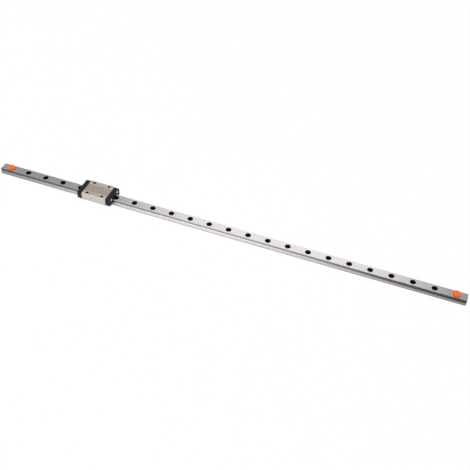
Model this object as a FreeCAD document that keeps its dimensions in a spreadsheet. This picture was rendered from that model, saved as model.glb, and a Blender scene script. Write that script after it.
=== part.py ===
import FreeCAD, Part
import math
import os
import re
import Sketcher

# Miniature linear guide: a ground steel rail along X with a ball raceway on each side, a carriage
# that straddles it, and a soft stop plug in the first and the last bolt hole.
# Millimetres, Z up, the origin under the middle of the rail.

doc = FreeCAD.newDocument("linear_guide")

sizes = {
    # rail
    "rail_length": 600.0,
    "rail_width": 12.0,
    "rail_height": 8.0,
    "rail_top_chamfer": 0.5,
    "rail_foot_chamfer": 0.3,
    # ball raceways, one circle for rail and carriage
    "raceway_radius": 1.25,
    "raceway_depth": 0.95,
    "raceway_drop": 2.6,
    # counterbored bolt holes of the rail
    "hole_pitch": 25.0,
    "hole_end": 12.5,
    "bolt_hole_diameter": 3.5,
    "counterbore_diameter": 6.0,
    "counterbore_depth": 4.5,
    # carriage block
    "carriage_position": -162.4,
    "assembly_height": 13.0,
    "block_lift": 3.0,
    "block_width": 27.0,
    "block_length": 32.4,
    "block_gap": 0.5,
    "block_top_chamfer": 0.5,
    "block_foot_chamfer": 0.2,
    "relief_width": 13.0,
    "relief_depth": 0.2,
    "tap_spacing_x": 20.0,
    "tap_spacing_y": 20.0,
    "tap_diameter": 2.5,
    "tap_depth": 3.5,
    # end caps
    "cap_thickness": 4.7,
    "cap_drop": 0.3,
    "cap_lift": 0.1,
    "cap_inset": 0.2,
    "cap_top_chamfer": 1.0,
    "cap_foot_chamfer": 0.3,
    "cap_gap": 0.4,
    # end seals
    "seal_thickness": 1.8,
    "seal_web": 0.5,
    "seal_inset": 0.15,
    "seal_gap": 0.25,
    # screws through seal and cap into the block
    "screw_inset": 5.4,
    "screw_drop": 2.4,
    "screw_diameter": 2.0,
    "screw_reach": 3.3,
    "screw_play": 0.1,
    "screw_end_room": 0.4,
    "screw_head_diameter": 3.4,
    "screw_head_height": 1.5,
    "screw_head_play": 0.2,
    "driver_slot_length": 1.8,
    "driver_slot_width": 0.5,
    "driver_slot_depth": 0.5,
    # stop plugs
    "plug_head_diameter": 8.8,
    "plug_head_height": 2.6,
    "plug_head_chamfer": 0.6,
    "plug_play": 0.1,
    "plug_end_room": 0.3,
}

# places and shared sizes that follow from the driving ones
derived = {
    "rail_half": "rail_width / 2",
    "raceway_z": "rail_height - raceway_drop",
    "raceway_y": "rail_half + raceway_radius - raceway_depth",
    "hole_count": "floor((rail_length - 2 * hole_end) / hole_pitch + 0.001) + 1",
    "first_hole_x": "hole_end - rail_length / 2",
    "last_hole_x": "first_hole_x + (hole_count - 1) * hole_pitch",
    "block_half": "block_width / 2",
    "block_reach": "block_length / 2",
    "cap_top": "assembly_height - cap_drop",
    "cap_foot": "block_lift + cap_lift",
    "cap_half": "block_half - cap_inset",
    "screw_y": "block_half - screw_inset",
    "screw_z": "cap_top - screw_drop",
    "screw_seat": "block_reach + cap_thickness + seal_web",
    "screw_length": "seal_web + cap_thickness + screw_reach",
}

sheet = doc.addObject("Spreadsheet::Sheet", "dims")
for row, (name, value) in enumerate({**sizes, **derived}.items(), start=1):
    sheet.set(f"A{row}", name)
    sheet.set(f"B{row}", f"={value}" if name in derived else str(value))
    sheet.setAlias(f"B{row}", name)
doc.recompute()


def bound(formula):
    """The formula with each sheet name written as a reference to the sheet."""
    names = set(sizes) | set(derived)
    return re.sub(r"[a-z_]+", lambda m: f"dims.{m[0]}" if m[0] in names else m[0], formula)


def value_of(formula):
    """The present number behind a formula."""
    return float(sheet.evalExpression(bound(formula)))


def new_body(name, x="0", y="0", z="0", turned=False):
    """An empty body placed by formulas; turned faces it the other way along the rail."""
    body = doc.addObject("PartDesign::Body", name)
    body.Label = name
    body.Placement.Rotation = FreeCAD.Rotation(FreeCAD.Vector(0, 0, 1), 180 if turned else 0)
    for axis, formula in zip("xyz", (x, y, z)):
        body.setExpression(f"Placement.Base.{axis}", bound(formula))
    return body


def new_sketch(body, name, plane, **shift):
    """A sketch on one of the body's own planes; shift holds formulas for its x, y and z offset."""
    sketch = body.newObject("Sketcher::SketchObject", f"{body.Name}_{name}")
    sketch.AttachmentSupport = [(o, "") for o in body.Origin.OriginFeatures if o.Role == plane]
    sketch.MapMode = "FlatFace"
    for axis, formula in shift.items():
        sketch.setExpression(f"AttachmentOffset.Base.{axis}", bound(formula))
    return sketch


def pin(sketch, geometry, point, across, up=None):
    """Tie a point of a sketch to formulas for its distance across and up from the origin."""
    for kind, formula, axis in (("DistanceX", across, -2), ("DistanceY", up, -1)):
        if formula == "0":
            sketch.addConstraint(Sketcher.Constraint("PointOnObject", geometry, point, axis))
        elif formula is not None:
            rule = Sketcher.Constraint(kind, -1, 1, geometry, point, value_of(formula))
            sketch.setExpression(f"Constraints[{sketch.addConstraint(rule)}]", bound(formula))


def outline(sketch, corners):
    """A closed outline through corners (across, up), given as formulas. A third entry (centre
    across, centre up, turn) makes the edge to the next corner an arc, turn 1 anticlockwise."""
    spots = [FreeCAD.Vector(value_of(c[0]), value_of(c[1]), 0) for c in corners]
    ends = []
    for corner, start, end in zip(corners, spots, spots[1:] + spots[:1]):
        if len(corner) == 2:
            edge = sketch.addGeometry(Part.LineSegment(start, end), False)
            ends.append((edge, 1, 2))
            continue
        centre_across, centre_up, turn = corner[2]
        centre = FreeCAD.Vector(value_of(centre_across), value_of(centre_up), 0)
        first, last = (start - centre, end - centre)[::turn]
        angles = [math.atan2(v.y, v.x) for v in (first, last)]
        circle = Part.Circle(centre, FreeCAD.Vector(0, 0, 1), first.Length)
        edge = sketch.addGeometry(Part.ArcOfCircle(circle, *angles), False)
        pin(sketch, edge, 3, centre_across)
        ends.append((edge, 1, 2) if turn == 1 else (edge, 2, 1))
    for i, corner in enumerate(corners):
        edge, start, _ = ends[i]
        before, _, end = ends[i - 1]
        sketch.addConstraint(Sketcher.Constraint("Coincident", before, end, edge, start))
        pin(sketch, edge, start, corner[0], corner[1])


def circles(sketch, centres, radius):
    """Equal circles about centres (across, up), given as formulas."""
    for across, up in centres:
        spot = FreeCAD.Vector(value_of(across), value_of(up), 0)
        circle = Part.Circle(spot, FreeCAD.Vector(0, 0, 1), value_of(radius))
        edge = sketch.addGeometry(circle, False)
        rule = Sketcher.Constraint("Radius", edge, value_of(radius))
        sketch.setExpression(f"Constraints[{sketch.addConstraint(rule)}]", bound(radius))
        pin(sketch, edge, 3, across, up)


def feature(body, kind, name, sketch, **formulas):
    """A sketch-based feature of the body with its lengths tied to formulas."""
    made = body.newObject(f"PartDesign::{kind}", f"{body.Name}_{name}")
    made.Profile = sketch
    sketch.Visibility = False
    for key, formula in formulas.items():
        made.setExpression(key, bound(formula))
    return made


def turned_feature(body, kind, name, sketch, axis):
    """A full turn of the sketch about its own axis."""
    made = feature(body, kind, name, sketch)
    made.ReferenceAxis = (sketch, [axis])
    made.Angle = 360
    return made


def pattern(body, name, original, sketch):
    """Copies of a feature along its sketch's level axis, as the body's last feature so far."""
    copies = body.newObject("PartDesign::LinearPattern", f"{body.Name}_{name}")
    copies.Originals = [original]
    copies.Direction = (sketch, ["H_Axis"])
    body.Tip = copies
    return copies


def half_opening(wall, radius):
    """Half the height at which a raceway circle of this radius opens in an upright wall."""
    return f"sqrt(({radius}) ^ 2 - ({wall} - raceway_y) ^ 2)"


def mirrored(corners):
    """The corners of one half of a section and then its mirror image, walked backwards."""
    other = []
    for i, (across, up, *_) in enumerate(corners):
        arc = corners[i - 1][2:] if i else ()
        flipped = tuple((f"-({a[0]})", a[1], a[2]) for a in arc)
        other.append((f"-({across})", up, *flipped))
    return corners + other[::-1]


def wiper_lip(gap):
    """The bulge of a wiper's inner edge into the raceway, a gap short of the rail."""
    wall = f"(rail_half + {gap})"
    opening = half_opening(wall, f"raceway_radius - {gap}")
    return [
        (wall, f"raceway_z - {opening}", ("raceway_y", "raceway_z", -1)),
        (wall, f"raceway_z + {opening}"),
    ]


def end_section(gap, inset, lip):
    """Half by half, the section of an end piece: a chamfered arch around the rail at a gap."""
    half = f"(cap_half - {inset})"
    top = f"(cap_top - {inset})"
    foot = f"(cap_foot + {inset})"
    outer = [
        (f"{half} - cap_top_chamfer", top),
        (half, f"{top} - cap_top_chamfer"),
        (half, f"{foot} + cap_foot_chamfer"),
        (f"{half} - cap_foot_chamfer", foot),
        (f"rail_half + {gap}", foot),
    ]
    crown = [
        (f"rail_half + {gap}", f"rail_height - rail_top_chamfer + 0.4 * {gap}"),
        (f"rail_half - rail_top_chamfer + 0.4 * {gap}", f"rail_height + {gap}"),
    ]
    return mirrored(outer + lip + crown)


# rail: section drawn across, drawn out along X, and one stepped hole repeated along it
rail = new_body("rail")
rail_opening = half_opening("rail_half", "raceway_radius")
rail_profile = new_sketch(rail, "profile", "YZ_Plane")
outline(rail_profile, mirrored([
    ("rail_half - rail_foot_chamfer", "0"),
    ("rail_half", "rail_foot_chamfer"),
    ("rail_half", f"raceway_z - {rail_opening}", ("raceway_y", "raceway_z", -1)),
    ("rail_half", f"raceway_z + {rail_opening}"),
    ("rail_half", "rail_height - rail_top_chamfer"),
    ("rail_half - rail_top_chamfer", "rail_height"),
]))
rail_bar = feature(rail, "Pad", "bar", rail_profile, Length="rail_length")
rail_bar.SideType = "Symmetric"
hole_section = new_sketch(rail, "hole_section", "XZ_Plane", x="first_hole_x")
outline(hole_section, [
    ("0", "-bolt_hole_diameter"),
    ("bolt_hole_diameter / 2", "-bolt_hole_diameter"),
    ("bolt_hole_diameter / 2", "rail_height - counterbore_depth"),
    ("counterbore_diameter / 2", "rail_height - counterbore_depth"),
    ("counterbore_diameter / 2", "rail_height + counterbore_depth"),
    ("0", "rail_height + counterbore_depth"),
])
rail_hole = turned_feature(rail, "Groove", "hole", hole_section, "V_Axis")
rail_holes = pattern(rail, "holes", rail_hole, hole_section)
rail_holes.setExpression("Length", bound("(hole_count - 1) * hole_pitch"))
rail_holes.setExpression("Occurrences", bound("hole_count"))

# carriage block: an arch over the rail with a raceway in each leg and a shallow relief on top
block = new_body("carriage_block", x="carriage_position")
block_wall = "(rail_half + block_gap)"
block_opening = half_opening(block_wall, "raceway_radius")
block_profile = new_sketch(block, "profile", "YZ_Plane")
outline(block_profile, mirrored([
    ("relief_width / 2", "assembly_height - relief_depth"),
    ("relief_width / 2 + relief_depth", "assembly_height"),
    ("block_half - block_top_chamfer", "assembly_height"),
    ("block_half", "assembly_height - block_top_chamfer"),
    ("block_half", "block_lift + block_foot_chamfer"),
    ("block_half - block_foot_chamfer", "block_lift"),
    (block_wall, "block_lift"),
    (block_wall, f"raceway_z - {block_opening}", ("raceway_y", "raceway_z", 1)),
    (block_wall, f"raceway_z + {block_opening}"),
    (block_wall, "rail_height + block_gap"),
]))
block_arch = feature(block, "Pad", "arch", block_profile, Length="block_length")
block_arch.SideType = "Symmetric"
tap_section = new_sketch(block, "tap_section", "XZ_Plane",
                         x="-tap_spacing_x / 2", z="-tap_spacing_y / 2")
outline(tap_section, [
    ("0", "assembly_height - tap_depth - 0.3 * tap_diameter"),
    ("tap_diameter / 2", "assembly_height - tap_depth"),
    ("tap_diameter / 2", "assembly_height + tap_depth"),
    ("0", "assembly_height + tap_depth"),
])
tap_hole = turned_feature(block, "Groove", "tap_hole", tap_section, "V_Axis")
tap_holes = pattern(block, "tap_holes", tap_hole, tap_section)
tap_holes.Direction2 = (tap_section, ["N_Axis"])
tap_holes.setExpression("Length", bound("tap_spacing_x"))
tap_holes.setExpression("Length2", bound("tap_spacing_y"))
tap_holes.Occurrences = 2
tap_holes.Occurrences2 = 2
screw_spots = [("screw_y", "screw_z"), ("-screw_y", "screw_z")]
for end, side in (("right", 1), ("left", -1)):
    hole_face = new_sketch(block, f"screw_face_{end}", "YZ_Plane", z=f"{side} * block_reach")
    circles(hole_face, screw_spots, "screw_diameter / 2 + screw_play / 2")
    hole = feature(block, "Pocket", f"screw_holes_{end}", hole_face,
                   Length="screw_reach + screw_end_room")
    hole.Reversed = side < 0
pieces = [rail, block]

# both ends of the carriage: cap, seal and two screws, drawn facing right and turned for the left
for end, side, turned in (("left", -1, True), ("right", 1, False)):
    cap = new_body(f"end_cap_{end}", x=f"carriage_position + {side} * block_reach", turned=turned)
    cap_profile = new_sketch(cap, "profile", "YZ_Plane")
    outline(cap_profile, end_section("cap_gap", "0", []))
    feature(cap, "Pad", "plate", cap_profile, Length="cap_thickness")
    cap_holes = new_sketch(cap, "hole_centres", "YZ_Plane")
    circles(cap_holes, screw_spots, "screw_diameter / 2 + screw_play")
    through = feature(cap, "Pocket", "screw_holes", cap_holes, Length="3 * cap_thickness")
    through.SideType = "Symmetric"

    seal_x = f"carriage_position + {side} * (block_reach + cap_thickness)"
    seal = new_body(f"end_seal_{end}", x=seal_x, turned=turned)
    seal_profile = new_sketch(seal, "profile", "YZ_Plane")
    outline(seal_profile, end_section("seal_gap", "seal_inset", wiper_lip("seal_gap")))
    feature(seal, "Pad", "plate", seal_profile, Length="seal_thickness")
    seal_holes = new_sketch(seal, "hole_centres", "YZ_Plane")
    circles(seal_holes, screw_spots, "screw_diameter / 2 + screw_play")
    through = feature(seal, "Pocket", "screw_holes", seal_holes, Length="3 * seal_thickness")
    through.SideType = "Symmetric"
    head_centres = new_sketch(seal, "head_centres", "YZ_Plane", z="seal_thickness")
    circles(head_centres, screw_spots, "screw_head_diameter / 2 + screw_head_play")
    feature(seal, "Pocket", "head_pockets", head_centres, Length="seal_thickness - seal_web")
    pieces += [cap, seal]

    for place, across in (("front", "-screw_y"), ("back", "screw_y")):
        screw_x = f"carriage_position + {side} * screw_seat"
        screw = new_body(f"cap_screw_{end}_{place}", screw_x, across, "screw_z", turned)
        section = new_sketch(screw, "section", "XZ_Plane")
        outline(section, [
            ("-screw_length", "0"),
            ("screw_head_height", "0"),
            ("screw_head_height", "screw_head_diameter / 2"),
            ("0", "screw_head_diameter / 2"),
            ("0", "screw_diameter / 2"),
            ("-screw_length", "screw_diameter / 2"),
        ])
        turned_feature(screw, "Revolution", "shank_and_head", section, "H_Axis")
        cross = new_sketch(screw, "driver_cross", "YZ_Plane", z="screw_head_height")
        arm, flank = "driver_slot_length / 2", "driver_slot_width / 2"
        quarter = [(arm, flank), (flank, flank), (flank, arm)]
        corners = []
        for _ in range(4):
            corners += quarter
            quarter = [(f"-({up})", over) for over, up in quarter]
        outline(cross, corners)
        feature(screw, "Pocket", "driver_recess", cross, Length="driver_slot_depth")
        pieces.append(screw)

# stop plugs: a round head on the rail and a stem in the counterbore
for end in ("left", "right"):
    hole_x = "first_hole_x" if end == "left" else "last_hole_x"
    plug = new_body(f"stop_plug_{end}", x=hole_x, z="rail_height")
    section = new_sketch(plug, "section", "XZ_Plane")
    outline(section, [
        ("0", "plug_end_room - counterbore_depth"),
        ("counterbore_diameter / 2 - plug_play", "plug_end_room - counterbore_depth"),
        ("counterbore_diameter / 2 - plug_play", "0"),
        ("plug_head_diameter / 2", "0"),
        ("plug_head_diameter / 2", "plug_head_height - plug_head_chamfer"),
        ("plug_head_diameter / 2 - plug_head_chamfer", "plug_head_height"),
        ("0", "plug_head_height"),
    ])
    turned_feature(plug, "Revolution", "head_and_stem", section, "V_Axis")
    pieces.append(plug)

doc.recompute()
for item in doc.Objects:
    if {"Invalid", "Error"} & set(item.State):
        raise RuntimeError(f"{item.Name} did not build: {item.State}")

os.makedirs("parts", exist_ok=True)
for piece in pieces:
    if piece.Shape.isNull() or not piece.Shape.isValid() or len(piece.Shape.Solids) != 1:
        raise RuntimeError(f"{piece.Label} is not one sound solid")
    piece.Shape.exportStep(f"parts/{piece.Label}.step")
    box = piece.Shape.BoundBox
    print(f"{piece.Label}: {piece.Shape.Volume:.1f} mm3, x {box.XMin:.2f}..{box.XMax:.2f},"
          f" y {box.YMin:.2f}..{box.YMax:.2f}, z {box.ZMin:.2f}..{box.ZMax:.2f}")
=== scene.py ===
import math
import bmesh
import bpy
import numpy as np
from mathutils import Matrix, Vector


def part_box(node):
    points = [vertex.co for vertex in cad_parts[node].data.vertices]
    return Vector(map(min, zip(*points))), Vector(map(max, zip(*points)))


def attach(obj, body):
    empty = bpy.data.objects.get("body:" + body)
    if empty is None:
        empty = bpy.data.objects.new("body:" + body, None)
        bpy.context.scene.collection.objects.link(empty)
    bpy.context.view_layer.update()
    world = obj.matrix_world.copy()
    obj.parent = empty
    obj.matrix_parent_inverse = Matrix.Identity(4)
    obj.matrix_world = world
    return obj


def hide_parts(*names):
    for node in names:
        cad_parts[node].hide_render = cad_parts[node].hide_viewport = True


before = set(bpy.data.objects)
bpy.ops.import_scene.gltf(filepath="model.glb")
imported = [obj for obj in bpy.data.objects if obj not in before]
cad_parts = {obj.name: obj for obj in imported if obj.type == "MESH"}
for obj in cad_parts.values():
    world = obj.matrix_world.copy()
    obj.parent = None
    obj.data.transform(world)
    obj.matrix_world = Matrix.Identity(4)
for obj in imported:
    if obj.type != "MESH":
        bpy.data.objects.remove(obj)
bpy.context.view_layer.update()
scene = bpy.context.scene
scene.view_settings.view_transform = "Standard"
print("frame loaded:", len(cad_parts), "nodes")

mm = 0.001  # pieces are worked out in millimetres; their meshes, the finishes and the stage are in metres
ends = dict(left=-1, right=1)  # both ends, by the sign of x
sameSpot = 1e-7  # a shorter step of a path is dropped, in millimetres
flatSlack = 1e-3  # a face this near to a flat lies in it, in millimetres
weldReach = 1e-6  # corners this near are merged, in metres
rimSlack = 2e-6  # edges this near to a flat end are its rim, in metres


# lowest and highest corner of a node at rest, in millimetres
def nodeBox(node):
    return np.array([tuple(corner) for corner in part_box(node)]) / mm


# each corner c of a path becomes the curve (1-t)^2 start + 2t(1-t) c + t^2 stop,
# where start and stop lie on the corner's two edges, its own ease away from it
def easedPath(points, ease, steps=5):
    p = np.asarray(points, float)
    short = np.asarray(ease, float)[1:-1, None]
    back = p[:-2] - p[1:-1]
    ahead = p[2:] - p[1:-1]
    start = p[1:-1] + short * back / np.linalg.norm(back, axis=1, keepdims=True)
    stop = p[1:-1] + short * ahead / np.linalg.norm(ahead, axis=1, keepdims=True)
    t = np.linspace(0, 1, steps)[None, :, None]
    curve = (1 - t) ** 2 * start[:, None] + 2 * t * (1 - t) * p[1:-1, None] + t ** 2 * stop[:, None]
    path = np.vstack([p[:1], curve.reshape(-1, 2), p[-1:]])
    gap = np.linalg.norm(np.diff(path, axis=0), axis=1)
    return path[np.r_[True, gap > sameSpot]]


# the same for a closed loop, which starts and ends in the middle of its last edge
def easedLoop(points, ease, steps=5):
    p = np.asarray(points, float)
    middle = (p[-1] + p[0]) / 2
    return easedPath(np.vstack([middle, p, middle]), np.r_[0, ease, 0], steps)[:-1]


# an arc is its centre plus the radius times (cos a, sin a), with a in even steps from the first to the last
# angle in degrees
def arcPoints(centre, radius, first, last, count):
    a = np.radians(np.linspace(first, last, count))
    return np.asarray(centre) + radius * np.stack([np.cos(a), np.sin(a)], -1)


# one half of a section and then its mirror image, walked backwards
def mirroredLoop(half):
    half = np.asarray(half, float)
    return np.vstack([half, half[::-1] * [-1, 1]])


# a section (y, z) carried straight along x: the same points at every station
def drawnOut(path, stations):
    grid = np.empty((len(stations), len(path), 3))
    grid[..., 0] = np.asarray(stations)[:, None]
    grid[..., 1:] = path[None]
    return grid


# the same for a closed section, which each station draws in along the section's normals by its own inset;
# the sign of the area tells on which side of the loop its inside lies
def loftedLoop(loop, stations, insets):
    along = np.roll(loop, -1, 0) - np.roll(loop, 1, 0)
    normal = np.stack([along[:, 1], -along[:, 0]], -1)
    normal /= np.linalg.norm(normal, axis=1, keepdims=True)
    area = np.sum(loop[:, 0] * np.roll(loop[:, 1], -1) - np.roll(loop[:, 0], -1) * loop[:, 1])
    grid = drawnOut(loop, stations)
    grid[..., 1:] -= np.asarray(insets)[:, None, None] * normal[None] * np.sign(area)
    return grid


# a profile (r, h) turned about an upright axis: (r cos a, r sin a, h) at each angle a
def turnedRings(profile, angle):
    p = np.asarray(profile, float)
    height = np.repeat(p[:, 1:], len(angle), 1)
    return np.stack([p[:, :1] * np.cos(angle), p[:, :1] * np.sin(angle), height], -1)


# a full turn in equal steps, the last one left out because the ring closes
def evenAngles(count):
    return np.linspace(0, 2 * np.pi, count, endpoint=False)


# points round a rectangle of half size 1, evenly spaced along each side
def squareLoop(longCount, shortCount):
    a = np.linspace(-1, 1, longCount, endpoint=False)
    b = np.linspace(-1, 1, shortCount, endpoint=False)
    across = np.concatenate([a, np.ones(shortCount), -a, -np.ones(shortCount)])
    up = np.concatenate([-np.ones(longCount), b, np.ones(longCount), -b])
    return np.stack([across, up], -1)


# halfway values of each step along a path, by which its rows of faces are told apart
def stepMiddles(values):
    return (values[1:] + values[:-1]) / 2


# corner numbers of every quad of a grid, round the seam too where the rows are closed
def gridFaces(rows, columns, closed):
    index = np.arange(rows * columns).reshape(rows, columns)
    if closed:
        index = np.hstack([index, index[:, :1]])
    quads = [index[:-1, :-1], index[:-1, 1:], index[1:, 1:], index[1:, :-1]]
    return np.stack(quads, -1).reshape(-1, 4)


# quads and their finish numbers, put into a mesh as whole arrays
def meshFrom(name, corners, faces, marks):
    mesh = bpy.data.meshes.new(name)
    mesh.vertices.add(len(corners))
    mesh.vertices.foreach_set("co", corners.ravel())
    mesh.loops.add(faces.size)
    mesh.loops.foreach_set("vertex_index", faces.ravel().astype(np.int32))
    mesh.polygons.add(len(faces))
    mesh.polygons.foreach_set("loop_start", np.arange(0, faces.size, 4, dtype=np.int32))
    mesh.polygons.foreach_set("material_index", marks.astype(np.int32))
    mesh.update(calc_edges=True)
    return mesh


# seams are merged and flat ends at the given x filled; returns the number of edges left open
def closeUp(mesh, planes):
    bm = bmesh.new()
    bm.from_mesh(mesh)
    bmesh.ops.remove_doubles(bm, verts=bm.verts, dist=weldReach)
    for plane in planes:
        rim = [edge for edge in bm.edges
               if edge.is_boundary and all(abs(v.co.x - plane) < rimSlack for v in edge.verts)]
        bmesh.ops.triangle_fill(bm, use_beauty=True, use_dissolve=False, edges=rim, normal=(1, 0, 0))
    bmesh.ops.recalc_face_normals(bm, faces=bm.faces)
    openEdges = sum(edge.is_boundary for edge in bm.edges)
    bm.to_mesh(mesh)
    bm.free()
    return openEdges


# a piece from grids of (points, closed rows, finish number of each row), filled at the flat ends' x,
# moved by the shift and shaded sharp past an angle in degrees
def makePiece(name, body, node, finishes, grids, flatEnds=(), shift=(0, 0, 0), sharp=32):
    corners, faces, marks, used = [], [], [], 0
    for points, closed, mark in grids:
        rows, columns = points.shape[:2]
        quads = gridFaces(rows, columns, closed)
        corners.append(points.reshape(-1, 3) + shift)
        faces.append(quads + used)
        marks.append(np.repeat(np.broadcast_to(mark, rows - 1), len(quads) // (rows - 1)))
        used += rows * columns
    mesh = meshFrom(name, np.vstack(corners) * mm, np.vstack(faces), np.concatenate(marks))
    openEdges = closeUp(mesh, [(x + shift[0]) * mm for x in flatEnds])
    mesh.shade_smooth()
    mesh.set_sharp_from_angle(angle=math.radians(sharp))
    for finish in finishes:
        mesh.materials.append(finish)
    piece = bpy.data.objects.new(name, mesh)
    scene.collection.objects.link(piece)
    even = piece.modifiers.new("even_shading", "WEIGHTED_NORMAL")  # keeps the ground flats flat
    even.keep_sharp = True
    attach(piece, body)
    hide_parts(node)
    print(f"{name}: {len(mesh.polygons)} faces, {openEdges} open edges")


# a socket that joins in sums: every operator adds one Math node
class Wire:
    def __init__(self, tree, socket=None):
        self.tree = tree
        self.socket = socket

    # any node: its settings first, then a value or a link for each socket named
    def node(self, kind, settings, sockets, output=0):
        made = self.tree.nodes.new(kind)
        for key, value in settings.items():
            setattr(made, key, value)
        for key, value in sockets.items():
            if isinstance(value, Wire):
                self.tree.links.new(value.socket, made.inputs[key])
            else:
                made.inputs[key].default_value = value
        return Wire(self.tree, made.outputs[output])

    def maths(self, operation, *values):
        return self.node("ShaderNodeMath", {"operation": operation}, dict(enumerate(values)))

    def __add__(self, other):
        return self.maths("ADD", self, other)

    def __radd__(self, other):
        return self.maths("ADD", other, self)

    def __sub__(self, other):
        return self.maths("SUBTRACT", self, other)

    def __rsub__(self, other):
        return self.maths("SUBTRACT", other, self)

    def __mul__(self, other):
        return self.maths("MULTIPLY", self, other)

    def __rmul__(self, other):
        return self.maths("MULTIPLY", other, self)

    def place(self):
        return self.node("ShaderNodeTexCoord", {}, {}, "Object")

    def along(self, axis):
        return self.node("ShaderNodeSeparateXYZ", {}, {0: self.place()}, axis)

    # 0 at the first value, 1 at the last, eased at both
    def ramp(self, value, first, last):
        ease = {"interpolation_type": "SMOOTHSTEP"}
        return self.node("ShaderNodeMapRange", ease, {"Value": value, "From Min": first, "From Max": last})

    # cloudy values about one half; a stretch draws them out along an axis that it is small on
    def noise(self, scale=1.0, stretch=(1, 1, 1), detail=3.0):
        spot = self.node("ShaderNodeMapping", {}, {"Vector": self.place(), "Scale": stretch})
        sockets = {"Vector": spot, "Scale": scale, "Detail": detail}
        return self.node("ShaderNodeTexNoise", {}, sockets, "Fac")

    # colours are triples here, or wires that carry a colour
    def blendColours(self, factor, first, second):
        first, second = [c if isinstance(c, Wire) else (*c, 1) for c in (first, second)]
        return self.node("ShaderNodeMix", {"data_type": "RGBA"}, {0: factor, 6: first, 7: second}, 2)

    def bump(self, height, strength, distance):
        sockets = {"Height": height, "Strength": strength, "Distance": distance}
        return self.node("ShaderNodeBump", {}, sockets)


# a material with its constants set on the shader's own sockets
def newFinish(name, constants):
    material = bpy.data.materials.new(name)
    material.use_nodes = True
    shader = material.node_tree.nodes["Principled BSDF"]
    for key, value in constants.items():
        shader.inputs[key].default_value = value
    return material, shader, Wire(material.node_tree)


# links what changes over the surface into the shader
def feed(shader, **links):
    names = {"colour": "Base Color", "roughness": "Roughness", "normal": "Normal"}
    for key, wire in links.items():
        wire.tree.links.new(wire.socket, shader.inputs[names[key]])


# painted shade: the rail's sides darken towards its ends; distances along x are in metres
sideEndShade = dict(middle=-0.012, start=0.0, reach=0.40, share=0.73)
trackEndShade = dict(middle=-0.06, start=0.05, reach=0.36, share=0.95)


# painted shade: the colour is mixed with black by a share, which is eased in with the distance along x from
# a middle
def paintedEndShade(wire, colour, middle, start, reach, share):
    away = wire.maths("ABSOLUTE", wire.along("X") - middle)
    return wire.blendColours(wire.ramp(away, start, reach) * share, colour, (0, 0, 0))


# light and dark are the two ends of a steel's tone, and gloss is its mean roughness; the rail's
# crown-chamfer steel is darker as painted shade, the block's top-chamfer steel is lighter as a painted
# highlight, and an end shade darkens a steel towards the rail's ends as painted shade
steelLooks = {
    "rail_ground": dict(light=(0.745, 0.712, 0.708), dark=(0.625, 0.597, 0.592), gloss=0.30),
    "rail_side": dict(light=(0.915, 0.88, 0.865), dark=(0.79, 0.755, 0.74), gloss=0.28, endShade=sideEndShade),
    "rail_edge_shade": dict(light=(0.45, 0.43, 0.422), dark=(0.355, 0.34, 0.332), gloss=0.30, endShade=sideEndShade),
    "block_side": dict(light=(0.715, 0.675, 0.617), dark=(0.60, 0.565, 0.518), gloss=0.36),
    "block_land": dict(light=(0.775, 0.71, 0.65), dark=(0.655, 0.60, 0.55), gloss=0.34),
    "block_edge_highlight": dict(light=(0.90, 0.85, 0.795), dark=(0.81, 0.765, 0.71), gloss=0.36),
    "block_relief": dict(light=(0.55, 0.475, 0.418), dark=(0.456, 0.395, 0.348), gloss=0.42),
    "screw_bright": dict(light=(0.92, 0.91, 0.90), dark=(0.82, 0.81, 0.80), gloss=0.30),
}
grind = dict(fine=(60, 5200, 5200), broad=(14, 1300, 1300), cloud=(0.5, 1, 1), cloudScale=26.0,
             cloudDetail=2.0, fineShare=0.35, broadShare=0.35, cloudShare=0.3,
             glossSpread=0.10, relief=0.10, reliefDepth=0.00003)


# steel ground along x: its tone is the sum of fine streaks, broad streaks and slow clouds, each times its
# share; the tone leads from dark to light and from glossy to dull, and the streaks are its relief
def groundSteel(name, light, dark, gloss, endShade=None):
    material, shader, wire = newFinish(name, {"Metallic": 1.0})
    fine = wire.noise(stretch=grind["fine"])
    broad = wire.noise(stretch=grind["broad"])
    cloud = wire.noise(grind["cloudScale"], grind["cloud"], grind["cloudDetail"])
    tone = fine * grind["fineShare"] + broad * grind["broadShare"] + cloud * grind["cloudShare"]
    colour = wire.blendColours(tone, dark, light)
    # painted shade: where an end shade is given, the colour darkens towards the rail's ends
    if endShade:
        colour = paintedEndShade(wire, colour, **endShade)
    feed(shader, colour=colour,
         roughness=gloss - grind["glossSpread"] / 2 + tone * grind["glossSpread"],
         normal=wire.bump(fine + broad, grind["relief"], grind["reliefDepth"]))
    return material


# the rail's side is painted dark above one height, as painted shade under the crown, and bright below the
# other, in metres
raceLook = dict(upperShade=(0.30, 0.29, 0.28), bright=(0.915, 0.88, 0.855), upperShadeAbove=0.0052, brightBelow=0.0046,
                gloss=0.16, landGloss=0.08, streak=(10, 2600, 2600), streakShare=0.3, streakGloss=0.06,
                relief=0.08, reliefDepth=0.00003)


# raceway side of the rail: the height blends a dark band under the crown, painted shade of the upper
# raceway, into a bright track lower down, and long streaks mix a share of the dark band back in; both take
# painted shade towards the rail's ends
def racewaySteel(name, s):
    material, shader, wire = newFinish(name, {"Metallic": 1.0})
    streak = wire.noise(stretch=s["streak"])
    track = wire.ramp(wire.along("Z"), s["upperShadeAbove"], s["brightBelow"])
    land = paintedEndShade(wire, s["upperShade"], **sideEndShade)
    base = wire.blendColours(track, land, paintedEndShade(wire, s["bright"], **trackEndShade))
    landGloss = s["gloss"] + s["landGloss"]
    feed(shader, colour=wire.blendColours(streak * s["streakShare"], base, land),
         roughness=landGloss - track * s["landGloss"] + streak * s["streakGloss"],
         normal=wire.bump(streak, s["relief"], s["reliefDepth"]))
    return material


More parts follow.
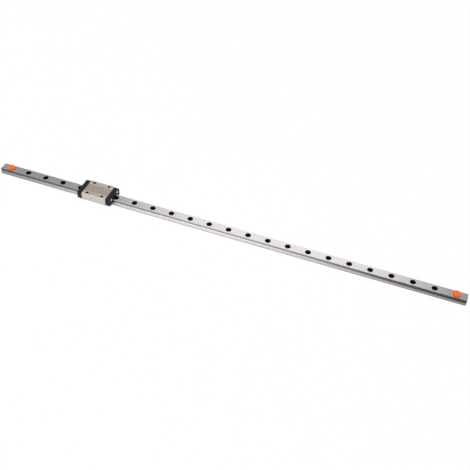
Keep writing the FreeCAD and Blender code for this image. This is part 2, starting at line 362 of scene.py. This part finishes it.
# the same for cut metal, but gloss is the least roughness here and in what follows
# all three are dark as painted shade: the first in the counterbores, the second as contact shadow on the
# rail's foot, the third in the tapped holes
cutLooks = {
    "hole_shade_black": dict(light=(0.014, 0.0135, 0.013), dark=(0.006, 0.006, 0.006), metallic=0.0, gloss=0.5),
    "foot_shadow_dark": dict(light=(0.14, 0.125, 0.105), dark=(0.06, 0.053, 0.045), metallic=1.0, gloss=0.3),
    "tapped_hole_shade": dict(light=(0.035, 0.031, 0.026), dark=(0.015, 0.013, 0.011), metallic=1.0, gloss=0.3),
}
drillMarks = dict(ring=(700, 700, 6500), detail=2.0, glossSpread=0.2, shine=0.15)


# cut metal, its dark tone painted shade: flat rings left by the drill lead from dark to light and from
# glossy to dull
def cutSteel(name, light, dark, metallic, gloss):
    constants = {"Metallic": metallic, "Specular IOR Level": drillMarks["shine"]}
    material, shader, wire = newFinish(name, constants)
    rings = wire.noise(stretch=drillMarks["ring"], detail=drillMarks["detail"])
    feed(shader, colour=wire.blendColours(rings, dark, light),
         roughness=gloss + rings * drillMarks["glossSpread"])
    return material


# scales are how often patches and grain come in a metre
mouldLooks = {
    "cap_black": dict(light=(0.0096, 0.0096, 0.0096), dark=(0.006, 0.006, 0.006), shine=0.26,
                      gloss=0.34, glossSpread=0.16, patchScale=240.0, grainScale=5200.0, relief=0.25),
    "seal_black": dict(light=(0.016, 0.0128, 0.0192), dark=(0.010, 0.008, 0.012), shine=0.26,
                       gloss=0.42, glossSpread=0.16, patchScale=240.0, grainScale=3600.0, relief=0.25),
    "plug_orange": dict(light=(0.93, 0.188, 0.033), dark=(0.89, 0.152, 0.023), shine=0.3,
                        gloss=0.44, glossSpread=0.14, patchScale=420.0, grainScale=4200.0, relief=0.15),
}
grainDepth = 0.00005  # metres


# moulded plastic: slow patches lead from dark to light and from glossy to dull, over a fine grain in relief
def mouldedFinish(name, light, dark, shine, gloss, glossSpread, patchScale, grainScale, relief):
    material, shader, wire = newFinish(name, {"Specular IOR Level": shine})
    patch = wire.noise(patchScale)
    grain = wire.noise(grainScale)
    feed(shader, colour=wire.blendColours(patch, dark, light),
         roughness=gloss + patch * glossSpread,
         normal=wire.bump(grain, relief, grainDepth))
    return material


steel = {name: groundSteel(name, **look) for name, look in steelLooks.items()}
cut = {name: cutSteel(name, **look) for name, look in cutLooks.items()}
moulded = {name: mouldedFinish(name, **look) for name, look in mouldLooks.items()}
railRace = racewaySteel("rail_raceway", raceLook)
print("finishes made")


# rail: one side section carried along x on both sides, and a panel with a stepped hole for each pitch
railSizes = dict(topChamfer=0.5, footChamfer=0.3, footShadow=0.8, lap=0.3, edge=0.12, lipEdge=0.06,
                 endTrim=0.15, raceRadius=1.25, raceDepth=0.95, raceDrop=2.6, raceSteps=25,
                 pitch=25.0, boreRadius=1.75, counterRadius=3.0, counterDepth=4.5,
                 rim=0.55, floorEdge=0.1, boreEdge=0.15, longCount=20, shortCount=12)
railFinish = dict(ground=steel["rail_ground"], side=steel["rail_side"], race=railRace,
                  hole=cut["hole_shade_black"], foot=cut["foot_shadow_dark"], edge=steel["rail_edge_shade"])
railMark = {name: number for number, name in enumerate(railFinish)}
railReach, railHalf, railTop = nodeBox("rail")[1]
raceY = railHalf + railSizes["raceRadius"] - railSizes["raceDepth"]
raceZ = railTop - railSizes["raceDrop"]


# from foot to crown; the raceway is an arc about a point just outside the side
def railSidePath(s):
    opening = math.degrees(math.acos((raceY - railHalf) / s["raceRadius"]))
    arc = arcPoints((raceY, raceZ), s["raceRadius"], 180 + opening, 180 - opening, s["raceSteps"])
    footIn = railHalf - s["footChamfer"]
    crownIn = railHalf - s["topChamfer"]
    foot = [(footIn - s["lap"], 0), (footIn, 0), (railHalf, s["footChamfer"]), (railHalf, s["footShadow"])]
    crown = [(railHalf, railTop - s["topChamfer"]), (crownIn, railTop), (crownIn - s["lap"], railTop)]
    inArc = np.zeros(s["raceSteps"] - 2)
    ease = np.r_[0, s["edge"], s["edge"], 0, s["lipEdge"], inArc, s["lipEdge"], s["edge"], s["edge"], 0]
    path = easedPath(np.vstack([foot, arc, crown]), ease)
    height = stepMiddles(path[:, 1])
    lip = raceZ - math.sqrt(s["raceRadius"] ** 2 - (raceY - railHalf) ** 2)
    marks = np.where(height > lip, railMark["race"], railMark["side"])
    # painted shade: the crown's chamfer takes the darker edge steel
    marks[height > railTop - s["topChamfer"]] = railMark["edge"]
    marks[height > railTop - flatSlack] = railMark["ground"]
    # painted shadow: the side's lowest band, up to this height, is dark as contact shadow
    marks[height < s["footShadow"]] = railMark["foot"]
    marks[height < flatSlack] = railMark["ground"]
    return path, marks


# rings run from the panel's straight rim in to a circle, down the stepped hole and out again below
def holePanel(s, crownHalf, footHalf):
    square = squareLoop(s["longCount"], s["shortCount"])
    half = s["pitch"] / 2
    angle = np.arctan2(square[:, 1] * crownHalf, square[:, 0] * half)
    counter, bore, step = s["counterRadius"], s["boreRadius"], railTop - s["counterDepth"]
    profile = [(counter + s["rim"], railTop), (counter, railTop - s["rim"]),
               (counter, step + s["floorEdge"]), (counter - s["floorEdge"], step),
               (bore + s["boreEdge"], step), (bore, step - s["boreEdge"]),
               (bore, s["boreEdge"]), (bore + s["boreEdge"], 0)]
    flat = np.ones(len(angle))
    top = np.column_stack([square * [half, crownHalf], railTop * flat])
    bottom = np.column_stack([square * [half, footHalf], 0 * flat])
    # painted shade: the stepped hole takes the near-black finish
    marks = np.r_[railMark["ground"], np.full(len(profile) - 1, railMark["hole"]), railMark["ground"]]
    return np.concatenate([top[None], turnedRings(profile, angle), bottom[None]]), marks


# both sides and all panels, cut off just short of the rail's ends, where the whole section as one loop
# is drawn in a little to the sawn end
def makeRail(s):
    path, sideMarks = railSidePath(s)
    crownHalf, footHalf = path[-1, 0], path[0, 0]
    panel, holeMarks = holePanel(s, crownHalf, footHalf)
    holes = round(2 * railReach / s["pitch"])
    centres = (np.arange(holes) - (holes - 1) / 2) * s["pitch"]
    stations = np.linspace(-railReach, railReach, holes * s["longCount"] + 1)
    grids = [(drawnOut(path * [sign, 1], stations).transpose(1, 0, 2), False, sideMarks)
             for sign in (1, -1)]
    grids += [(panel + [x, 0, 0], True, holeMarks) for x in centres]
    inner = railReach - s["endTrim"]
    lowest, highest = [-inner, -railHalf, 0], [inner, railHalf, railTop]
    grids = [(np.clip(points, lowest, highest), closed, marks) for points, closed, marks in grids]
    across = np.linspace(1, -1, s["shortCount"] + 1)[1:-1]
    crownRow = np.stack([across * crownHalf, 0 * across + railTop], -1)
    footRow = np.stack([-across * footHalf, 0 * across], -1)
    loop = np.vstack([path, crownRow, path[::-1] * [-1, 1], footRow])
    for sign in (1, -1):
        trimmed = loftedLoop(loop, [sign * inner, sign * railReach], [0, s["endTrim"]])
        grids.append((trimmed, True, railMark["side"]))
    makePiece("ground_rail", "rail", "rail", railFinish.values(), grids,
              flatEnds=(-railReach, railReach))


makeRail(railSizes)


# carriage body: an arch carried along x, a lowered relief on top and a panel round each tapped hole
blockSizes = dict(topChamfer=0.5, footChamfer=0.2, lap=0.3, edge=0.09, crownEdge=0.3, lipEdge=0.05,
                  gap=0.5, raceRadius=1.25, raceSteps=21,
                  reliefHalf=6.5, reliefDepth=0.2, reliefSlope=0.04, reliefEdge=0.04,
                  tapX=10.0, tapY=10.0, tapRadius=1.25, tapDepth=3.5, tipShare=0.6, mouth=0.55,
                  threadPitch=0.5, threadDepth=0.22, threadRows=60, runOut=0.6, longCount=18, shortCount=10)
blockFinish = dict(side=steel["block_side"], tapped=cut["tapped_hole_shade"], relief=steel["block_relief"],
                   land=steel["block_land"], edge=steel["block_edge_highlight"])
blockMark = {name: number for number, name in enumerate(blockFinish)}
blockLow, blockHigh = nodeBox("carriage_block")
carriageX = (blockLow[0] + blockHigh[0]) / 2
blockReach = blockHigh[0] - carriageX
blockHalf, blockTop, blockFoot = blockHigh[1], blockHigh[2], blockLow[2]


# from the top's edge down one side, up the inside round the other half of the raceway, and back mirrored
def archPath(s):
    wall = railHalf + s["gap"]
    opening = math.degrees(math.acos((wall - raceY) / s["raceRadius"]))
    arc = arcPoints((raceY, raceZ), s["raceRadius"], -opening, opening, s["raceSteps"])
    crownIn = blockHalf - s["topChamfer"]
    outer = [(crownIn - s["lap"], blockTop), (crownIn, blockTop), (blockHalf, blockTop - s["topChamfer"]),
             (blockHalf, blockFoot + s["footChamfer"]), (blockHalf - s["footChamfer"], blockFoot),
             (wall, blockFoot)]
    side = np.vstack([outer, arc, [(wall, railTop + s["gap"])]])
    outerEase = np.full(len(outer) - 1, s["edge"])
    inArc = np.zeros(s["raceSteps"] - 2)
    ease = np.r_[0, outerEase, s["lipEdge"], inArc, s["lipEdge"], s["crownEdge"]]
    path = easedPath(mirroredLoop(side), np.r_[ease, ease[::-1]])
    height = stepMiddles(path[:, 1])
    # painted highlight: the top chamfer takes the lighter edge steel
    marks = np.where(height > blockTop - s["topChamfer"], blockMark["edge"], blockMark["side"])
    marks[height > blockTop - flatSlack] = blockMark["land"]
    return path, marks


# across the top: down a steep slope into the relief and up again
def reliefPath(s, landIn, reliefOut):
    lowered = [(landIn, blockTop), (reliefOut, blockTop), (s["reliefHalf"], blockTop - s["reliefDepth"])]
    corners = 2 * len(lowered) - 2
    path = easedPath(mirroredLoop(lowered), np.r_[0, np.full(corners, s["reliefEdge"]), 0])
    inside = np.abs(stepMiddles(path[:, 0])) < s["reliefHalf"]
    return path, np.where(inside, blockMark["relief"], blockMark["land"])


# the wall's radius is a saw wave of height and angle together, which winds a thread; it runs out below
def tapPanel(s, landIn, landOut):
    square = squareLoop(s["longCount"], s["shortCount"])
    cell = np.array([blockReach, landOut - landIn]) / 2
    rim = square * cell + cell + [0, landIn] - [s["tapX"], s["tapY"]]
    angle = np.arctan2(rim[:, 1], rim[:, 0])
    heights = np.linspace(blockTop - s["mouth"], blockTop - s["tapDepth"], s["threadRows"])
    turn = heights[:, None] / s["threadPitch"] - angle[None] / (2 * np.pi)
    wave = np.abs(2 * (turn - np.floor(turn)) - 1)
    fade = np.clip((heights - heights[-1]) / s["runOut"], 0, 1)[:, None]
    radius = s["tapRadius"] + s["threadDepth"] * wave * fade
    wall = np.stack([radius * np.cos(angle), radius * np.sin(angle), heights[:, None] + 0 * radius], -1)
    top = np.column_stack([rim, blockTop * np.ones(len(angle))])
    mouth = turnedRings([(s["tapRadius"] + s["mouth"], blockTop)], angle)
    tip = turnedRings([(0, heights[-1] - s["tipShare"] * s["tapRadius"])], angle)
    panel = np.concatenate([top[None], mouth, wall, tip]) + [s["tapX"], s["tapY"], 0]
    # painted shade: the hole's mouth, wall and tip take the near-black tapped finish
    return panel, np.r_[blockMark["land"], np.full(len(panel) - 2, blockMark["tapped"])]


# the arch and the relief run the whole length, and the tap's panel is mirrored into all four corners
def makeBlock(s):
    reliefOut = s["reliefHalf"] + s["reliefSlope"]
    landIn, landOut = reliefOut + s["lap"], blockHalf - s["topChamfer"] - s["lap"]
    stations = np.linspace(-blockReach, blockReach, 2 * s["longCount"] + 1)
    grids = [(drawnOut(path, stations).transpose(1, 0, 2), False, marks)
             for path, marks in (archPath(s), reliefPath(s, landIn, reliefOut))]
    panel, tapMarks = tapPanel(s, landIn, landOut)
    grids += [(panel * [signX, signY, 1], True, tapMarks) for signX in (1, -1) for signY in (1, -1)]
    makePiece("carriage_body", "carriage", "carriage_block", blockFinish.values(), grids,
              flatEnds=(-blockReach, blockReach), shift=(carriageX, 0, 0))


makeBlock(blockSizes)


# end caps and seals: a chamfered arch carried along x, drawn in on a quarter round at its outer rim
endSizes = dict(topChamfer=1.0, footChamfer=0.3, mitre=0.4, shoulderEase=0.4, footEase=0.1, wallEase=0.12,
                crownEase=0.1, backEdge=0.05, roundShare=0.6, roundSteps=5, holeRadius=1.1, holeTurns=48)
capSizes = dict(endSizes, gap=0.4, soft=0.35)
sealSizes = dict(endSizes, gap=0.25, soft=0.3, web=0.5, headPlay=0.2, mouth=0.15, lipSteps=17)
screwLow, screwHigh = nodeBox("cap_screw_right_back")
screwY, screwZ = (screwLow[1:] + screwHigh[1:]) / 2
headRadius = screwHigh[2] - screwZ


# half of the arch runs from the shoulder down and in, past the lip and, at a gap, over the rail's chamfer;
# the rim's stations follow a sine and its insets one minus a cosine
def endLoft(node, s, lip):
    low, high = nodeBox(node)
    half, top, foot, thick = high[1], high[2], low[2], high[0] - low[0]
    wall = railHalf + s["gap"]
    edge = railSizes["topChamfer"] - s["mitre"] * s["gap"]
    outer = [(half - s["topChamfer"], top), (half, top - s["topChamfer"]), (half, foot + s["footChamfer"]),
             (half - s["footChamfer"], foot), (wall, foot)]
    crown = [(wall, railTop - edge), (railHalf - edge, railTop + s["gap"])]
    outerEase = [s["shoulderEase"], s["shoulderEase"], s["footEase"], s["footEase"], s["wallEase"]]
    ease = np.r_[outerEase, np.zeros(len(lip)), s["crownEase"], s["crownEase"]]
    loop = easedLoop(mirroredLoop(np.vstack([outer, lip, crown])), np.r_[ease, ease[::-1]])
    t = np.linspace(0, np.pi / 2, s["roundSteps"])
    stations = np.r_[0, s["backEdge"], thick - s["soft"] * (1 - np.sin(t))]
    insets = np.r_[s["backEdge"], 0, s["roundShare"] * s["soft"] * (1 - np.cos(t))]
    return loftedLoop(loop, stations, insets), thick


# the wiper's bulge into the raceway: an arc about the raceway's own centre, a gap short of the rail
def wiperLip(s):
    radius = railSizes["raceRadius"] - s["gap"]
    opening = math.degrees(math.acos((raceY - railHalf - s["gap"]) / radius))
    return arcPoints((raceY, raceZ), radius, 180 + opening, 180 - opening, s["lipSteps"])


# a profile turned about the x axis at both screws
def screwRings(profile, turns):
    ring = turnedRings(profile, evenAngles(turns))[..., [2, 0, 1]]
    return [ring + [0, y, screwZ] for y in (screwY, -screwY)]


# a cap against the block and a seal against the cap, each an arch with its two screw holes;
# returns how far from the carriage's middle the screw heads sit
def makeEnd(end, sign):
    loft, thick = endLoft(f"end_cap_{end}", capSizes, np.empty((0, 2)))
    bore = capSizes["holeRadius"]
    rings = screwRings([(bore, 0), (bore, thick)], capSizes["holeTurns"])
    grids = [(points * [sign, 1, 1], True, 0) for points in [loft, *rings]]
    makePiece(f"cap_shell_{end}", "carriage", f"end_cap_{end}", [moulded["cap_black"]],
              grids, flatEnds=(0, sign * thick), shift=(carriageX + sign * blockReach, 0, 0))
    capOut = blockReach + thick
    s = sealSizes
    loft, thick = endLoft(f"end_seal_{end}", s, wiperLip(s))
    pocket = headRadius + s["headPlay"]
    rings = screwRings([(pocket + s["mouth"], thick), (pocket, thick - s["mouth"]), (pocket, s["web"]),
                        (s["holeRadius"], s["web"]), (s["holeRadius"], 0)], s["holeTurns"])
    grids = [(points * [sign, 1, 1], True, 0) for points in [loft, *rings]]
    makePiece(f"wiper_seal_{end}", "carriage", f"end_seal_{end}", [moulded["seal_black"]],
              grids, flatEnds=(0, sign * thick), shift=(carriageX + sign * capOut, 0, 0))
    return capOut + s["web"]


for end, sign in ends.items():
    screwSeat = makeEnd(end, sign)  # the same at both ends


# screw: a pan head turned about x; its top dips where either arm of the driver cross covers it
screwSizes = dict(crown=0.82, dome=0.28, roll=0.4, rollSteps=7, shankRadius=1.0, tip=0.2,
                  armHalf=0.9, armWide=0.22, recess=0.5, soft=0.1, crownRows=26, turns=72)
headOut = screwHigh[0] - carriageX - screwSeat
shankIn = screwHigh[0] - screwLow[0] - headOut


# 1 inside an arm along v and 0 outside it, with an even slope across its edges
def inArm(s, u, v):
    side = np.clip((s["armWide"] - np.abs(u)) / s["soft"] + 0.5, 0, 1)
    return side * np.clip((s["armHalf"] - np.abs(v)) / s["soft"] + 0.5, 0, 1)


# the crown falls off with the square of the radius, a quarter ellipse rolls it over to the head's side,
# and the shank follows; the deeper of the two arms is taken off the crown
def screwGrid(s):
    flatRadius = s["crown"] * headRadius
    crownR = np.linspace(0, flatRadius, s["crownRows"])
    t = np.linspace(0, np.pi / 2, s["rollSteps"])[1:]
    rollR = flatRadius + (headRadius - flatRadius) * np.sin(t)
    rollX = headOut - s["dome"] - s["roll"] * (1 - np.cos(t))
    shank = [(headRadius, 0), (s["shankRadius"], 0), (s["shankRadius"], s["tip"] - shankIn),
             (s["shankRadius"] - s["tip"], -shankIn), (0, -shankIn)]
    shankR, shankX = np.array(shank).T
    r = np.r_[crownR, rollR, shankR]
    x = np.r_[headOut - s["dome"] * (crownR / flatRadius) ** 2, rollX, shankX]
    angle = evenAngles(s["turns"])
    y, z = r[:, None] * np.cos(angle), r[:, None] * np.sin(angle)
    onCrown = (np.arange(len(r)) < len(crownR))[:, None]
    dip = np.maximum(inArm(s, y, z), inArm(s, z, y)) * s["recess"] * onCrown
    return np.stack([x[:, None] - dip, y, z], -1)


for end, sign in ends.items():
    for spot, across in (("front", -screwY), ("back", screwY)):
        grid = screwGrid(screwSizes) * [sign, 1, 1]
        makePiece(f"pan_screw_{end}_{spot}", "carriage", f"cap_screw_{end}_{spot}",
                  [steel["screw_bright"]], [(grid, True, 0)],
                  shift=(carriageX + sign * screwSeat, across, screwZ))


# stop plug: a head with a rolled edge and a dished top on the rail, its stem down in the counterbore
plugSizes = dict(roll=0.8, rollSteps=9, dish=0.12, dishSteps=9, stemRadius=2.9, stemTip=0.3,
                 foot=0.1, turns=72)


# stem, foot, a quarter circle at the rim, and a top that sinks by the dish times (1 - q) squared,
# where q is the square of the radius as a share of the flat's own
def plugGrid(s, radius, height, stemLength):
    flatRadius = radius - s["roll"]
    stem = [(0, -stemLength), (s["stemRadius"] - s["stemTip"], -stemLength),
            (s["stemRadius"], s["stemTip"] - stemLength), (s["stemRadius"], 0),
            (radius - s["foot"], 0), (radius, s["foot"])]
    rolled = arcPoints((flatRadius, height - s["roll"]), s["roll"], 0, 90, s["rollSteps"])
    inward = np.linspace(flatRadius, 0, s["dishSteps"])[1:]
    sunk = s["dish"] * (1 - (inward / flatRadius) ** 2) ** 2
    top = np.stack([inward, height - sunk], -1)
    return turnedRings(np.vstack([stem, rolled, top]), evenAngles(s["turns"]))


for end in ends:
    plugLow, plugHigh = nodeBox(f"stop_plug_{end}")
    grid = plugGrid(plugSizes, plugHigh[1], plugHigh[2] - railTop, railTop - plugLow[2])
    makePiece(f"soft_plug_{end}", "rail", f"stop_plug_{end}", [moulded["plug_orange"]],
              [(grid, True, 0)], shift=((plugLow[0] + plugHigh[0]) / 2, 0, railTop))


# floor, in metres: rings about the upright axis, flat under the object and curved up to a rim far off;
# show and mirrorShow are the shares of plain white in it for the eye and for a reflection
floorLook = dict(reach=7.0, cove=1.2, coveSteps=9, turns=96, drop=0.0001,
                 show=0.95, mirrorShow=0.3, colour=(0.97, 0.97, 0.97, 1))


# white by the share that the ray may see, never more than show, and else matte, which takes the shadow
def floorFinish(s):
    material = bpy.data.materials.new("floor_white")
    material.use_nodes = True
    tree = material.node_tree
    tree.nodes.remove(tree.nodes["Principled BSDF"])
    wire = Wire(tree)
    shares = {"Is Camera Ray": s["show"], "Is Glossy Ray": s["mirrorShow"],
              "Is Transmission Ray": s["show"]}
    seen = [wire.node("ShaderNodeLightPath", {}, {}, ray) * share for ray, share in shares.items()]
    factor = wire.maths("MINIMUM", seen[0] + seen[1] + seen[2], s["show"])
    matte = wire.node("ShaderNodeBsdfDiffuse", {}, {"Color": s["colour"]})
    glow = wire.node("ShaderNodeEmission", {}, {"Color": (1, 1, 1, 1), "Strength": 1.0})
    mixed = wire.node("ShaderNodeMixShader", {}, {0: factor, 1: matte, 2: glow})
    tree.links.new(mixed.socket, tree.nodes["Material Output"].inputs["Surface"])
    return material


# the middle, and a quarter circle that starts level at the reach, turned a drop below the object
def makeFloor(s):
    rise = arcPoints((s["reach"], s["cove"]), s["cove"], -90, 0, s["coveSteps"])
    rings = turnedRings(np.vstack([(0, 0), rise]) - [0, s["drop"]], evenAngles(s["turns"]))
    faces = gridFaces(*rings.shape[:2], True)
    mesh = meshFrom("studio_floor", rings.reshape(-1, 3), faces, np.zeros(len(faces)))
    closeUp(mesh, [])
    mesh.shade_smooth()
    mesh.materials.append(floorFinish(s))
    floor = bpy.data.objects.new("studio_floor", mesh)
    scene.collection.objects.link(floor)


makeFloor(floorLook)

# soft panels of light, in metres, under an even dim sky; brightness is that of a panel's own face
skyLook = dict(colour=(1, 1, 1, 1), brightness=0.10)
panels = dict(
    back=dict(spot=(-0.225, 1.45, 1.4), aim=(0.05, 0, 0), size=(1.15, 0.9), brightness=1.3),
    backLeft=dict(spot=(-1.35, 1.45, 1.4), aim=(0.05, 0, 0), size=(1.1, 0.9), brightness=0.163),
    front=dict(spot=(-0.28, -1.2, 0.95), aim=(0, 0, 0), size=(0.72, 1.3), brightness=1.6),
    over=dict(spot=(-0.6, 0.0, 2.0), aim=(-0.6, 0, 0), size=(2.4, 2.4), brightness=1.0),
    left=dict(spot=(-1.7, 0.0, 1.5), aim=(0, 0, 0), size=(2.2, 2.2), brightness=1.1),
    right=dict(spot=(1.7, 0.0, 1.5), aim=(0, 0, 0), size=(3.0, 3.0), brightness=1.2),
)


# the same dim light from every side
def makeSky(colour, brightness):
    world = bpy.data.worlds.new("studio")
    world.use_nodes = True
    scene.world = world
    shade = world.node_tree.nodes["Background"]
    shade.inputs["Color"].default_value = colour
    shade.inputs["Strength"].default_value = brightness


# a panel's power is pi times its area times its brightness; it is turned to face its aim
def softPanel(name, spot, aim, size, brightness):
    light = bpy.data.lights.new(f"{name}_panel", "AREA")
    light.shape = "RECTANGLE"
    light.size, light.size_y = size
    light.energy = brightness * math.pi * size[0] * size[1]
    lamp = bpy.data.objects.new(light.name, light)
    away = np.subtract(spot, aim)
    tilt = math.atan2(math.hypot(away[0], away[1]), away[2])
    lamp.location = spot
    lamp.rotation_euler = (tilt, 0, math.atan2(away[0], -away[1]))
    scene.collection.objects.link(lamp)


makeSky(**skyLook)
for name, panel in panels.items():
    softPanel(name, **panel)
print("stage lit")

# camera fitted to the row of holes and the carriage's corners; metres, degrees, lens and film in millimetres
cameraLook = dict(spot=(0.2157, -0.6208, 0.6245), turn=(46.216, -2.667, 19.961), lens=56.9, film=36.0)
view = bpy.data.cameras.new("camera")
view.sensor_width = cameraLook["film"]
view.lens = cameraLook["lens"]
camera = bpy.data.objects.new("camera", view)
camera.location = cameraLook["spot"]
camera.rotation_euler = np.radians(cameraLook["turn"])
scene.collection.objects.link(camera)
scene.camera = camera
print("camera set")
